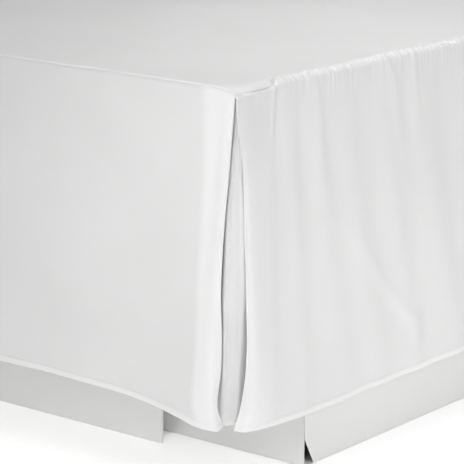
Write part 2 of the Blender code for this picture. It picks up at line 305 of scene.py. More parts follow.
class Paint:
    def __init__(self, name):
        self.material = bpy.data.materials.new(name)
        self.material.use_nodes = True
        self.tree = self.material.node_tree
        self.shader = self.tree.nodes["Principled BSDF"]

    def add(self, kind, settings=None, sockets=None, output=0):
        # a node with its settings first, then the values or wires of its sockets
        node = self.tree.nodes.new(kind)
        for name, value in (settings or {}).items():
            setattr(node, name, value)
        for name, value in (sockets or {}).items():
            self.join(node, name, value)
        outputs = [socket for socket in node.outputs if socket.enabled]
        return Wire(self, outputs[output] if isinstance(output, int) else node.outputs[output])

    def join(self, node, name, value):
        named = [socket for socket in node.inputs if socket.name == name and socket.enabled]
        socket = named[0] if named else node.inputs[name]
        if isinstance(value, Wire):
            self.tree.links.new(value.socket, socket)
        elif isinstance(value, tuple) and len(value) < len(socket.default_value):
            socket.default_value = (*value, 1)
        else:
            socket.default_value = value

    def maths(self, operation, first, second=0.0):
        return self.add("ShaderNodeMath", {"operation": operation}, {0: first, 1: second})

    def mixColour(self, share, first, second):
        return self.add("ShaderNodeMix", {"data_type": "RGBA"}, {"Factor": share, "A": first, "B": second})

    def between(self, value, low, high):
        # 0 below low, 1 above high, smooth between
        return self.add("ShaderNodeMapRange", {"interpolation_type": "SMOOTHSTEP"},
                        {"Value": value, "From Min": low, "From Max": high})

    def noise(self, place, scale, detail=3.0, roughness=0.5):
        return self.add("ShaderNodeTexNoise", {}, {
            "Vector": place, "Scale": scale, "Detail": detail, "Roughness": roughness})

    def solidPlace(self):
        return self.add("ShaderNodeTexCoord", {}, {}, "Object")

    def firstTwo(self, place):
        split = self.add("ShaderNodeSeparateXYZ", {}, {0: place})
        return split, Wire(self, split.socket.node.outputs["Y"])

    def bump(self, strength, distance, height):
        return self.add("ShaderNodeBump", {}, {"Strength": strength, "Distance": distance, "Height": height})

    def finish(self, values):
        for name, value in values.items():
            self.join(self.shader, name, value)
        return self.material


cotton = {
    "colour": (0.8, 0.8, 0.797),
    "shade": (0.775, 0.775, 0.772),  # thin places and slow changes of tone
    "hem": (0.88, 0.88, 0.877),  # where the cloth lies double
    "roughness": 0.88, "weaveRoughness": 0.06, "sheen": 0.12, "sheenRoughness": 0.4, "specular": 0.25,
    "thread": 0.00056,  # pitch of the weave
    "weaveDepth": 0.00005, "slubDepth": 0.00007, "crumpleDepth": 0.00035, "bump": 0.55,
    "slubs": ((60, 1500, 1), (1500, 60, 1)), "slubTone": 0.12, "crumpleScale": 55.0,
    "cloudScale": 5.0, "cloudFrom": 0.35, "cloudTo": 0.68,
}


def cottonMaterial(name, hemMask=None):
    # hemMask works from the cloth's own two places, in metres
    paint = Paint(name)
    place = paint.add("ShaderNodeUVMap", {"uv_map": "clothPlace"})
    along, down = paint.firstTwo(place)
    solid = paint.solidPlace()
    warp, weft = [paint.maths("SINE", way * (math.tau / cotton["thread"])) for way in (along, down)]
    weave = warp * weft * 0.5 + 0.5
    stretched = [paint.add("ShaderNodeVectorMath", {"operation": "MULTIPLY"}, {0: place, 1: factors})
                 for factors in cotton["slubs"]]
    slubs = paint.noise(stretched[0], 1.0, 2.0) + paint.noise(stretched[1], 1.0, 2.0)
    crumple = paint.noise(solid, cotton["crumpleScale"], 4.0, 0.55)
    cloud = paint.noise(solid, cotton["cloudScale"])
    tone = paint.between(cloud, cotton["cloudFrom"], cotton["cloudTo"])
    colour = paint.mixColour(tone, cotton["shade"], cotton["colour"])
    colour = paint.mixColour((slubs - 0.8) * cotton["slubTone"], colour, cotton["hem"])
    if hemMask is not None:
        colour = paint.mixColour(hemMask(paint, along, down), colour, cotton["hem"])
    height = weave * cotton["weaveDepth"] + slubs * cotton["slubDepth"] + crumple * cotton["crumpleDepth"]
    return paint.finish({
        "Base Color": colour,
        "Roughness": cotton["roughness"] + (weave - 0.5) * cotton["weaveRoughness"],
        "Sheen Weight": cotton["sheen"], "Sheen Roughness": cotton["sheenRoughness"],
        "Specular IOR Level": cotton["specular"], "Normal": paint.bump(cotton["bump"], 1.0, height)})


# the hanging panels: each is worked out in plan at many levels and keeps its cut length as it leans
panel = {
    "upright": 0.07,
    "start": 0.002,  # the panel's top edge is tucked under the deck's edge
    "fine": ((0.006, 0.0008), (0.012, 0.0012), (0.024, 0.0024), (0.06, 0.0045)),
    "coarse": ((0.011, 0.009), (0.0072, 0.0009), (0.003, 0.0021), (0.0, 0.0006)),  # above the hem
    "tuckReach": 0.0045,
    "steepest": 0.2,  # the cloth falls at least this share of its length
    "hem": 0.008, "double": 0.55, "hemStep": 0.0004, "sideHemStep": 0.0005,
    "rim": 0.0011, "topRim": 0.0006,
    "rolled": 0.7, "rollWidth": 0.0012,  # the free edge is this much thicker than the cloth
    "pulls": (0.01, 0.00022), "pullSlant": 0.2, "pullReach": 0.012,
}


def rise(level):
    # a panel stays upright over about its first part, then leans evenly
    start = panel["upright"]
    return (level - start * (1 - np.exp(-level / start))) / (1 - start)


def hangDown(plans, downs, seamHeights):
    # plans[row, column] is (along, out); each column of cloth keeps its own length
    steps = np.diff(downs)[:, None]
    across = (np.diff(plans, axis=0) ** 2).sum(axis=2)
    falls = np.sqrt(np.maximum(steps**2 - across, (panel["steepest"] * steps) ** 2))
    return seamHeights - np.vstack((np.zeros((1, plans.shape[1])), np.cumsum(falls, axis=0)))


def plansFor(planAt, levels, stations):
    knots = np.array([planAt(level) for level in levels])
    return np.array([curveThrough(range(len(row)), row, stations) for row in knots])


def cornerEdges(piece, level):
    # the free edge and the nose behind it, each as past the corner and out
    rows = np.array(piece["corner"])
    edgePast, edgeOut, nosePast, noseOut = curveThrough(rows[:, 0], rows[:, 1:] / 1000, level)
    return (edgePast, edgeOut), (nosePast, noseOut)


def tuckIn(depth, below):
    # how far the cloth lies in, just below its top edge
    return depth * np.clip(1 - below / panel["tuckReach"], 0, 1) ** 2


def stationsFor(knots, wanted):
    # where along a row of knots the seam passes the wanted places
    dense = np.linspace(0, len(knots) - 1, 40 * len(knots))
    return np.interp(wanted, curveThrough(range(len(knots)), knots[:, 0], dense), dense)


def cornerSag(distance):
    return bed["cornerSag"] * hump(np.maximum(distance, 0), bed["cornerSagReach"])


def panelDowns(cut, start):
    # rows down a panel, and how many of them are fine
    coarse = [(cut - aboveHem, step) for aboveHem, step in panel["coarse"]]
    return spacing(start, *panel["fine"], *coarse), len(spacing(start, *panel["fine"]))


def panelHalfThickness(down, fromEdge, sideHem, cut):
    # half thickness: double at the hems, rolled and round at the free edges
    double = np.maximum(stepAt(cut - panel["hem"], panel["hemStep"], down),
                        1 - stepAt(sideHem, panel["sideHemStep"], fromEdge))
    rim = np.minimum(roundedRim(cut - down, panel["rim"]), roundedRim(fromEdge, panel["rim"]))
    top = roundedRim(down - panel["start"], panel["topRim"])
    rolled = panel["rolled"] * hump(fromEdge - panel["rim"], panel["rollWidth"])
    return bed["cloth"] / 2 * (1 + panel["double"] * double + rolled) * rim * top


def hemRelief(alongs, down, fromEdge, sideHem, hemRow, seed):
    # the stitches draw the cloth in, and it pulls a little above the hem
    pulls = unevenness(alongs, down * panel["pullSlant"], seed, *panel["pulls"])
    return (stitchDimple(fromEdge - sideHem) + stitchDimple(down - hemRow)
            + pulls * smoothStep(hemRow - panel["pullReach"], hemRow, down))


footPanel = {
    "flare": 0.058, "flareReach": 0.096, "flarePower": 1.5, "rest": 0.0005, "tuck": 0.0008,
    "edgeInset": 0.0006, "sideHem": 0.045, "hemSpread": 0.004, "hemSpreadReach": 0.05,
    "distances": (0.022, 0.05, 0.085, 0.125, 0.18, 0.26, 0.38, 0.52, 0.66),
    "columns": ((0.0024, 0.0006), (0.01, 0.0012), (0.022, 0.003), (0.05, 0.001), (0.12, 0.004)),
    "columnStep": 0.008, "stitchEnds": 0.004, "stitchTop": 0.008, "dentsFrom": 0.03,
    "swells": ((3, 0.16, 0.0006, 0.05), (5, 0.045, 0.00012, 0.02)), "pullSeed": 8,
    # level, then millimetres: edge past the corner, edge out, nose past the corner, nose out
    "corner": (
        (0.00, -0.6, 0, -10, 0),
        (0.13, -0.4, 6.4, -10, 7),
        (0.26, 2, 17, -8, 15.2),
        (0.37, 2.8, 24.4, -7, 22.5),
        (0.61, 5.6, 34.2, -4, 36.2),
        (0.73, 8.6, 36.2, -1, 42.8),
        (0.82, 9.8, 39.4, 1, 48),
        (0.93, 9.2, 45.2, 7, 53.4),
        (1.00, 7, 33.4, 10, 51.6),
    ),
    # millimetres: from the right corner, down, length along, length down, height
    "dents": (
        (275, 105, 60, 70, 3.6), (290, 255, 55, 55, -3), (180, 215, 45, 60, -2.2),
        (130, 110, 60, 60, 1.2), (150, 320, 55, 35, 1.6), (225, 330, 40, 40, 1.4),
        (100, 405, 70, 60, 3), (420, 180, 90, 90, 3), (540, 260, 80, 70, -2.6),
    ),
}


def footLean(distance):
    flare = math.exp(-(distance / footPanel["flareReach"]) ** footPanel["flarePower"])
    return footPanel["rest"] + (footPanel["flare"] - footPanel["rest"]) * flare


def footPlan(level):
    half = [(bed["half"] + past, out) for past, out in cornerEdges(footPanel, level)]
    half += [(bed["half"] - distance, footLean(distance) * rise(level))
             for distance in footPanel["distances"]]
    return np.array([(-along, out) for along, out in half] + [(0, footPanel["rest"] * rise(level))]
                    + half[::-1])


def footHemWidth(down):
    return footPanel["sideHem"] + footPanel["hemSpread"] * np.exp(-down / footPanel["hemSpreadReach"])


def makeFootPanel(material, thread):
    downs, _ = panelDowns(bed["footDrop"], panel["start"])
    half = bed["half"] - footPanel["edgeInset"]
    edge = spacing(0, *footPanel["columns"], (half, footPanel["columnStep"]))
    alongs = joined(edge - half, (half - edge[:-1])[::-1])
    plans = plansFor(footPlan, downs / bed["footDrop"], stationsFor(footPlan(0), alongs))
    arcs = np.array([travel(plan) for plan in plans])
    fromEdge = np.minimum(arcs, arcs[:, -1:] - arcs)
    down = downs[:, None]
    plans[:, :, 1] -= tuckIn(footPanel["tuck"], down - panel["start"])
    seam = bed["deckTop"] - panel["start"] - cornerSag(half - np.abs(alongs))
    heights = hangDown(plans, downs, seam)
    grid = stacked(plans[:, :, 0], bed["footY"] - bed["panelOut"] - plans[:, :, 1], heights)
    hemRow = bed["footDrop"] - panel["hem"]
    sideHem = footHemWidth(down)
    relief = softDents(half - alongs, down, inMetres(footPanel["dents"]))
    relief *= smoothStep(0, footPanel["dentsFrom"], down)
    relief += clothSwells(alongs, down, footPanel["swells"])
    relief += hemRelief(alongs, down, fromEdge, sideHem, hemRow, footPanel["pullSeed"])
    grid = raised(grid, relief)
    thickness = panelHalfThickness(down, fromEdge, sideHem, bed["footDrop"])
    spare = (arcs[:, -1:] - 2 * half) * smoothStep(0.05, 2 * half - 0.05, arcs)
    sheet = clothSheet("footPanel", grid, stacked(arcs - spare, down), thickness, material)
    ends = half - footPanel["stitchEnds"]
    fall = sideFall(footPanel, hemRow)
    hemPlaces = [np.interp(footHemWidth(place), row[:len(edge)], edge) for place, row in zip(downs, fromEdge)]
    inward = half - np.interp(fall, downs, hemPlaces)
    routes = [stitchRoute(hemRow + stitch["offHem"], np.arange(-ends, ends, stitch["step"])),
              stitchRoute(fall, -inward), stitchRoute(fall, inward)]
    return sheet, stitchRows("footPanelStitches", grid, thickness, downs, alongs, routes, 1, thread)


sidePanel = {
    "lean": 0.043, "seamSag": 0.004, "sideHem": 0.061, "seeds": {"left": 4, "right": 9},
    "cornerReach": 0.008, "cornerEase": 0.03,  # the free edge passes the corner this far at the seam
    "tuck": 0.0011, "stitchEnds": 0.004, "stitchTop": 0.012,
    "columns": ((0.053, 0.0035), (0.059, 0.001), (0.34, 0.005)),
    "swells": ((13, 0.15, 0.0006, 0.05), (15, 0.05, 0.00016, 0.02)), "pullSeed": 18,
    # the deck laps over the seam near the foot; past these places the gathers turn over the edge
    "lapEnds": 0.056, "turnStarts": 0.074,
    "turnOver": 0.0085, "turnReach": 0.0125, "turnTop": 0.0013, "allowed": (0.012, 0.13),
    "lip": 0.0012, "lipPlace": 0.0066, "lipWidth": 0.0028,
    "emerging": ((0.0022, -0.0006), (0.0042, -0.0002)),  # where the ridges start, and sooner past the lap
    # the gathers fill out the cloth below the seam: from and to, under the deck and past it
    "bulge": 0.0056, "bulgeReach": 0.02, "bulgeUnder": (0.0021, 0.007), "bulgePast": (0.0001, 0.0026),
    # level, then millimetres: edge past the corner, edge out, nose past the corner, nose out
    "corner": (
        (0.00, 8, 0, -10, 0),
        (0.08, 7, 3.8, -9, 4.4),
        (0.16, 5.4, 8.2, -8, 9.2),
        (0.37, 10.7, 18.2, -3, 20.5),
        (0.6, 18.7, 27.2, 4, 31),
        (0.82, 22.1, 28.4, 8, 36),
        (0.93, 24.4, 22.3, 14, 35.2),
        (1.00, 25.1, 14, 18, 28.8),
    ),
    # soft folds from the foot corner on, in millimetres: along the seam, along the hem, depth
    "folds": (
        (62, 19, 3.5), (94, 70, 0), (112, 100, 3),
        (130, 150, 0), (160, 192, 4.2), (196, 226, 0.5),
        (232, 262, 3.6), (270, 300, 0), (306, 334, 4.5),
    ),
    "lastFold": 0.0924, "foldSteps": (0.0315, 0.0525), "foldDepths": (0.003, 0.005),
    "foldTravel": 1.4,  # a fold moves along the cloth mostly near the hem
    "foldRise": 2.2, "softened": 0.4,
    # long soft ridges and troughs in millimetres: along, down, height, width
    "ridges": (
        ((132, 6, 2.6, 6), (141, 32, 3.2, 9), (143, 95, 3.2, 12),
         (149, 155, 2.8, 14), (182, 190, 2.8, 13), (204, 214, 3.4, 12),
         (253, 276, 4, 11), (300, 326, 3.2, 11)),
        ((277, 6, 2.4, 6), (292, 38, 3.4, 10), (298, 80, 3.4, 12),
         (306, 120, 2.6, 15), (316, 160, 1.4, 18)),
        ((334, 6, 2.2, 6), (336, 60, 2.8, 10), (341, 120, 1.6, 13)),
        ((60.5, 3, 1.4, 3), (58.5, 50, 1, 4), (52, 120, 0.4, 6)),
        ((70, 3, -2.8, 5), (70.5, 40, -2.4, 7), (66, 90, -1, 10),
         (60, 150, -0.3, 12)),
    ),
}


def seamTurn(along):
    # 0 where the deck laps over the seam, 1 where the gathers turn over the edge
    return smoothStep(sidePanel["lapEnds"], sidePanel["turnStarts"], along)


def sideFoldRows(seed):
    # the named folds near the foot, then like ones at uneven spacing to the head
    rows = inMetres(sidePanel["folds"])
    dice = np.random.default_rng(seed)
    seam, hem = rows[-1][:2]
    trough = False
    while seam < bed["length"] - sidePanel["lastFold"]:
        step = dice.uniform(*sidePanel["foldSteps"])
        seam += step
        hem += (bed["length"] - hem) / (bed["length"] - seam + step) * step
        rows.append((seam, hem, dice.uniform(*sidePanel["foldDepths"]) if trough else 0.0))
        trough = not trough
    rows.append((bed["length"], bed["length"], 0.001))
    return rows


def sidePlan(level, folds):
    lean = sidePanel["lean"] * rise(level)
    # the folds are full a little below the seam and softer again at the hem
    full = math.sin(math.pi * min(rise(level) * sidePanel["foldRise"], 0.5))
    share = full * (1 - sidePanel["softened"] * level)
    return np.array([(-past, out) for past, out in cornerEdges(sidePanel, level)]
                    + [(seam + (hem - seam) * level ** sidePanel["foldTravel"], lean - share * depth)
                       for seam, hem, depth in folds])


gathers = {
    # millimetres: along, height, half width, reach down the panel, reach onto the deck
    "placed": (
        (14.5, 1.1, 1.7, 8, 1), (20, 1.4, 1.9, 12, 1), (26.2, 1, 1.8, 8, 1), (31.8, 1.3, 1.9, 10, 1),
        (37, 0.9, 1.7, 7, 1), (42.5, 1.1, 1.9, 8, 1), (48, 1, 1.9, 9, 1), (54, 0.8, 1.9, 10, 2),
        (61, 1.2, 2.4, 30, 5), (73.5, 1.1, 2.2, 12, 6), (81, 1.1, 2.4, 14, 8), (91.3, 1.4, 2.4, 20, 8),
        (99.3, 1.3, 2.4, 16, 8), (110, 1.3, 2.6, 12, 14), (116, 0.9, 2.2, 10, 13), (127, 2, 3.6, 40, 11),
        (138.8, 1.9, 2.8, 20, 10), (149.5, 1.6, 2.6, 24, 11), (156.4, 1.5, 2.4, 16, 10),
        (166, 1.6, 2.7, 24, 12), (174, 1.9, 2.6, 30, 16), (182.9, 1.6, 2.8, 20, 15),
        (191.7, 2.3, 2.8, 28, 15), (198.3, 1.4, 2.4, 14, 12), (209.3, 1.7, 3, 26, 12),
        (219, 1.3, 2.8, 14, 10), (230.9, 1.5, 2.8, 30, 11), (237.7, 1.5, 2.6, 18, 13),
        (245.2, 1.4, 2.6, 12, 11), (252.4, 1.2, 2.6, 12, 10), (259.9, 1.4, 2.6, 18, 12),
        (268, 2, 3.4, 45, 11), (278.7, 1.2, 2.8, 14, 9), (287.7, 0.9, 3, 10, 8), (298.3, 1.5, 2.8, 14, 13),
        (307.3, 2.1, 3, 40, 12), (322, 1.5, 3.4, 30, 10), (332.8, 1.3, 3, 18, 9),
    ),
    # puff, streak, ontoDeck and valley are shares of a pucker's height
    "puff": 1.9, "puffReach": 0.007, "streak": 0.6, "ontoDeck": 0.12, "valley": 0.46, "grown": 0.0036,
    "pitch": (0.0058, 0.01), "height": (0.0012, 0.0023), "halfWidth": (0.0022, 0.003),
    "down": (0.012, 0.036), "up": (0.008, 0.016), "longOnes": 0.14,
    "spread": 0.045, "deckSpread": 0.03, "widest": 0.022, "lapFrom": 0.0021, "lapGrown": 0.0012,
    "seeds": {"left": 21, "right": 22}, "columns": ((0.0024, 0.0006), (0.008, 0.001), (0.34, 0.0011)),
    "allUpTo": 0.008, "allOfLast": 6,  # columns that even the coarse rows hold
}


def gatherRows(side):
    rows = inMetres(gathers["placed"])
    dice = np.random.default_rng(gathers["seeds"][side])
    place = rows[-1][0]
    while place < bed["length"] - 0.012:
        place += dice.uniform(*gathers["pitch"])
        down = dice.uniform(*gathers["down"]) * (2.0 if dice.random() < gathers["longOnes"] else 1.0)
        rows.append((place, dice.uniform(*gathers["height"]), dice.uniform(*gathers["halfWidth"]), down,
                     dice.uniform(*gathers["up"])))
    return rows


def gatherRelief(alongs, across, rows):
    # puckers across the seam; across is the way down from it, less than 0 on the deck
    relief = np.zeros((len(across), len(alongs)))
    across = across[:, None]
    below, onDeck = np.maximum(across, 0), np.maximum(-across, 0)
    for place, height, width, down, up in rows:
        near = np.abs(alongs - place) < gathers["widest"]
        wide = width * (1 + below / gathers["spread"] + onDeck / gathers["deckSpread"])
        lap = 1 - seamTurn(place)
        grown = smoothStep(gathers["lapFrom"] * lap, gathers["grown"] + gathers["lapGrown"] * lap, across)
        tall = grown * (gathers["puff"] * np.exp(-below / gathers["puffReach"])
                        + gathers["streak"] * np.exp(-below / down))
        tall = np.where(across > 0, tall, gathers["ontoDeck"] * hump(across, 0.5 * up))
        relief[:, near] += height * tall * (hump(alongs[near] - place, wide) - gathers["valley"])
    return relief


def sideAlongs():
    # columns shared by a side panel and the deck, from the foot corner to the head
    return spacing(0, *gathers["columns"], (bed["length"] - 0.004, 0.0021), (bed["length"], 0.001))


def keptColumns(columns, *stretches):
    # all at the two ends, and those nearest to the stretches' places
    wanted = joined(spacing(gathers["allUpTo"], *stretches), columns[-gathers["allOfLast"]:])
    close = [np.argmin(np.abs(columns - place)) for place in wanted]
    return np.union1d(np.flatnonzero(columns < gathers["allUpTo"]), close)


def makeSidePanel(name, side, material, thread):
    sign = sideSigns[side]
    downs, fineCount = panelDowns(bed["sideDrop"], 0)
    folds = sideFoldRows(sidePanel["seeds"][side])
    flats = sideAlongs()
    alongs = flats - sidePanel["cornerReach"] * np.clip(1 - flats / sidePanel["cornerEase"], 0, 1)
    plans = plansFor(lambda level: sidePlan(level, folds), downs / bed["sideDrop"],
                     stationsFor(sidePlan(0, folds), alongs))
    down = downs[:, None]
    turn = seamTurn(flats)
    plans[:, :, 1] -= (1 - turn) * tuckIn(sidePanel["tuck"], down)
    seam = bed["deckTop"] - sidePanel["seamSag"] - cornerSag(alongs) / 4
    hem = hangDown(plans, downs, seam)[-1]
    plans[:, :, 1] -= turn * sidePanel["turnOver"] * (
        1 - np.sin(math.pi / 2 * np.clip(down / sidePanel["turnReach"], 0, 1)))
    heights = hangDown(plans, downs, seam + turn * (sidePanel["seamSag"] - sidePanel["turnTop"]))
    # the cut allows for the length that turns over the edge
    heights = heights + (hem - heights[-1]) * smoothStep(*sidePanel["allowed"], down)
    grid = stacked(sign * (bed["half"] + bed["panelOut"] + plans[:, :, 1]), bed["footY"] + plans[:, :, 0],
                   heights)
    lip = sidePanel["lip"] * hump(down - sidePanel["lipPlace"], sidePanel["lipWidth"])
    swelling = turn * smoothStep(*sidePanel["bulgePast"], down)
    swelling += (1 - turn) * smoothStep(*sidePanel["bulgeUnder"], down)
    relief = gatherRelief(flats, downs, gatherRows(side)) + (1 - turn) * lip
    relief += sidePanel["bulge"] * swelling * np.exp(-down / sidePanel["bulgeReach"])
    emerging = smoothStep(*[lapped + sooner * turn for lapped, sooner in sidePanel["emerging"]], down)
    for path in sidePanel["ridges"]:
        relief += softRidge(plans[:, :, 0], down, inMetres(path)) * emerging
    hemRow = bed["sideDrop"] - panel["hem"]
    relief += clothSwells(alongs, down, sidePanel["swells"], sign)
    relief += hemRelief(alongs, down, flats, sidePanel["sideHem"], hemRow, sidePanel["pullSeed"] + sign)
    grid = raised(grid, relief, sign)
    thickness = panelHalfThickness(down, flats, sidePanel["sideHem"], bed["sideDrop"])
    thickness = thickness * roundedRim(bed["length"] - flats, panel["rim"])
    fine = np.arange(len(downs)) < fineCount
    sheet = clothSheet(name, grid, stacked(flats, down), thickness, material, fine,
                       keptColumns(flats, *sidePanel["columns"], (bed["length"] - 0.004, 0.0075)))
    ends = (sidePanel["stitchEnds"], bed["length"] - sidePanel["stitchEnds"], stitch["step"])
    routes = [stitchRoute(hemRow + stitch["offHem"], np.arange(*ends)),
              stitchRoute(sideFall(sidePanel, hemRow), sidePanel["sideHem"])]
    return sheet, stitchRows(name + "Stitches", grid, thickness, downs, flats, routes, sign, thread)


underlay = {
    "drop": 0.3718,
    "inset": 0.0022,  # its seam runs this far inside the deck's edges
    "tuck": 0.5,  # behind a panel it follows this share of the panel's lean
    "below": 0.0065,  # its seam lies this far below the deck
    "behindFoot": (0.125, 0.06, 0.028), "behindSide": (0.03, 0.125),
    "columns": ((0.05, 0.02), (0.2, 0.05), (2, 0.15), (6.4, 0.06), (7.8, 0.15), (7.95, 0.05), (8, 0.02)),
    "swells": ((31, 0.05, 0.0005, 0.08),), "sideHem": 0.01,
    # level, then four points in plan in millimetres, from the foot panel's edge on
    "split": (
        (0.00, -5, 2.2, -2.2, 3.4, -2.2, 6.8, -2.2, 12),
        (0.15, -6.1, -3.6, -0.2, -3, 3.9, -1.6, 6.8, 1.1),
        (0.37, -1, -18.7, 5.1, -15.9, 11.1, -11.5, 16.2, -3.4),
        (0.61, 1.9, -27.9, 10, -26.1, 18.9, -21.2, 24, -10),
        (0.85, 4, -34.6, 10.5, -31.5, 17.8, -25.4, 24.1, -14),
        (1.00, -1.3, -31.1, 5.7, -27.9, 11.8, -22.8, 17.4, -15.3),
    ),
    # soft ridges and hollows: place from knot to knot, down, height, width in knots
    "ridges": (
        ((4.05, 0.236, 0.0009, 0.2), (4.1, 0.262, 0.002, 0.25), (4.05, 0.36, 0.0013, 0.28)),
        ((3.7, 0.195, 0.0005, 0.15), (4.05, 0.243, 0.0013, 0.18)),
        ((5.00, 0.212, 0.0005, 0.18), (4.1, 0.243, 0.0014, 0.2)),
        ((5.6, 0.21, -0.0006, 0.3), (5.75, 0.26, -0.0026, 0.35), (5.8, 0.31, -0.0028, 0.38),
         (5.7, 0.366, -0.0022, 0.4)),
    ),
}


def underlayPlan(level):
    rows = np.array(underlay["split"])
    shown = curveThrough(rows[:, 0], rows[:, 1:] / 1000, level).reshape(-1, 2)
    follow = underlay["tuck"] * rise(level)
    behindFoot = [(-distance, underlay["inset"] - follow * footLean(distance))
                  for distance in underlay["behindFoot"]]
    behindSide = [(follow * sidePanel["lean"] - underlay["inset"], distance)
                  for distance in underlay["behindSide"]]
    return behindFoot + list(shown) + behindSide


def makeUnderlay(name, side, material):
    sign = sideSigns[side]
    downs, _ = panelDowns(underlay["drop"], panel["start"])
    stations = spacing(0, *underlay["columns"])
    plans = plansFor(underlayPlan, downs / underlay["drop"], stations)
    seam = np.full(len(stations), bed["deckTop"] - sidePanel["seamSag"] - bed["cloth"] - underlay["below"])
    grid = stacked(sign * (bed["half"] + plans[:, :, 0]), bed["footY"] + plans[:, :, 1],
                   hangDown(plans, downs, seam))
    flats = travel(plans[-1])
    down = downs[:, None]
    relief = clothSwells(flats, down, underlay["swells"])
    for path in underlay["ridges"]:
        relief += softRidge(stations, down, path)
    grid = raised(grid, relief, sign)
    fromEdge = np.minimum(flats, flats[-1] - flats)
    thickness = panelHalfThickness(down, fromEdge, underlay["sideHem"], underlay["drop"])
    return clothSheet(name, grid, stacked(flats, down), thickness, material)


deck = {
    "sideRound": 0.003, "footRound": 0.0026, "sideOverhang": 0.0017, "footOverhang": 0.0015,
    "seamRoll": 0.014,
    "drawnIn": 0.0071,  # the gathers draw the side edge in this far
    "drawnReach": (0.004, 0.045),
    "flattened": 0.82,  # and leave this share of its rolled edge out
    "headHem": 0.02, "rim": 0.0008,
    "edgeRows": ((0.0054, 0.0009), (0.0102, 0.0016), (0.027, 0.0028)),
    "innerRows": ((0.04, 0.006),), "rowStep": 0.022, "columns": ((0.03, 0.004), (0.34, 0.01)),
    "headColumns": ((0.03, 0.02), (0.022, 0.004), (0.018, 0.002)),
    "swell": (41, 0.3, 0.001), "swellFrom": 0.03, "swellFull": 0.2, "ridgeEnds": 2.2,
    # low ridges, each from one point to another, with height and width
    "ridges": (
        ((0.29, -0.61), (0.56, -0.33), 0.004, 0.05),
        ((-0.42, -0.82), (-0.15, -0.56), 0.0035, 0.06),
        ((-0.56, 0.56), (-0.3, 0.82), 0.0035, 0.055),
        ((0.33, 0.6), (0.6, 0.76), 0.003, 0.05),
    ),
}


def edgeRound(arc, radius):
    # in from a rounded edge and below the top, at an arc length from the edge
    turn = np.clip(arc / radius, 0, math.pi / 2)
    return (np.where(turn < math.pi / 2, radius * (1 - np.cos(turn)), radius + arc - radius * math.pi / 2),
            radius * (1 - np.sin(turn)))


def deckRelief(x, y, fromEdge):
    lift = unevenness(x, y, *deck["swell"]) * smoothStep(deck["swellFrom"], deck["swellFull"], fromEdge)
    for start, end, height, width in deck["ridges"]:
        run = np.subtract(end, start)
        offsetX, offsetY = x - start[0], y - start[1]
        portion = (offsetX * run[0] + offsetY * run[1]) / (run @ run)
        aside = (run[0] * offsetY - run[1] * offsetX) / math.hypot(*run)
        lift = lift + height * np.exp(-(deck["ridgeEnds"] * (portion - 0.5)) ** 4) * hump(aside, width)
    return lift


def makeDeck(material):
    half = bed["half"] + deck["sideOverhang"]
    arcs = spacing(0, *deck["edgeRows"], *deck["innerRows"], (half, deck["rowStep"]))
    inward, below = edgeRound(arcs, deck["sideRound"])
    columns = sideAlongs()
    footIn, footBelow = edgeRound(columns, deck["footRound"])
    y = np.minimum(bed["footY"] - deck["footOverhang"] + footIn, bed["headY"])
    y[-1] = bed["headY"]
    turn = seamTurn(columns)
    drawn = turn * deck["drawnIn"] * (1 - smoothStep(*deck["drawnReach"], arcs))[:, None]
    rightX = np.maximum(half - inward[:, None] - drawn, 0)
    below = below[:, None] * (1 - deck["flattened"] * turn)
    # the rows run from the left edge to the middle and on to the right edge
    x = np.vstack((-rightX, rightX[-2::-1]))
    below = np.vstack((below, below[-2::-1]))
    arcs = joined(arcs, arcs[-2::-1])
    fromSide = np.maximum(bed["half"] - np.abs(x), 0)
    fromFoot = np.maximum(y - bed["footY"], 0)
    roll = sidePanel["seamSag"] * (1 - turn) * np.maximum(0, 1 - fromSide / deck["seamRoll"]) ** 2
    height = (bed["deckTop"] - bed["cloth"] / 2 - np.hypot(below, footBelow) - roll
              - cornerSag(np.hypot(fromSide, fromFoot)) + deckRelief(x, y, np.minimum(fromSide, fromFoot)))
    grid = stacked(x, y, height)
    tops = np.arange(len(x)) < len(x) // 2
    puckers = np.zeros(height.shape)
    for side, rows in (("left", tops), ("right", ~tops)):
        puckers[rows] = gatherRelief(columns, -arcs[rows], gatherRows(side))
    grid = raised(grid, puckers)
    fromEdge = np.minimum(arcs[:, None], np.minimum(columns, bed["length"] - columns))
    double = stepAt(bed["length"] - deck["headHem"], panel["sideHemStep"], columns)
    thickness = bed["cloth"] / 2 * roundedRim(fromEdge, deck["rim"]) * (1 + panel["double"] * double)
    fine = np.minimum(np.arange(len(x)), np.arange(len(x))[::-1]) < len(spacing(0, *deck["edgeRows"]))
    kept = keptColumns(columns, *deck["columns"],
                       *[(bed["length"] - fromHead, step) for fromHead, step in deck["headColumns"]])
    places = stacked(x + bed["half"], y - bed["footY"])
    return clothSheet("deckSheet", grid, places, thickness, material, fine, kept)


# materials of the skirt: the hems are lighter, because the cloth lies double
hemTone = {
    "foot": {"side": (-0.012, 0.004), "bottom": (0, 0.003), "shares": (0.85, 0.85)},
    "side": {"side": (-0.022, 0.006), "bottom": (0.0006, 0.004), "shares": (0.65, 0.75)},
    "sideFrom": (0.02, 0.12),
}


def hemMasks(paint, tone, edge, down, sideHem, cut):
    sideLimits = [sideHem + offset for offset in tone["side"]]
    bottomLimits = [cut - panel["hem"] + offset for offset in tone["bottom"]]
    side = 1 - paint.between(edge, *sideLimits)
    return side * tone["shares"][0], paint.between(down, *bottomLimits) * tone["shares"][1]


def footHems(paint, along, down):
    width = 2 * (bed["half"] - footPanel["edgeInset"])
    spread = paint.maths("EXPONENT", down * (-1 / footPanel["hemSpreadReach"])) * footPanel["hemSpread"]
    edge = paint.maths("MINIMUM", along, width - along) - spread
    masks = hemMasks(paint, hemTone["foot"], edge, down, footPanel["sideHem"], bed["footDrop"])
    return paint.maths("MAXIMUM", *masks)


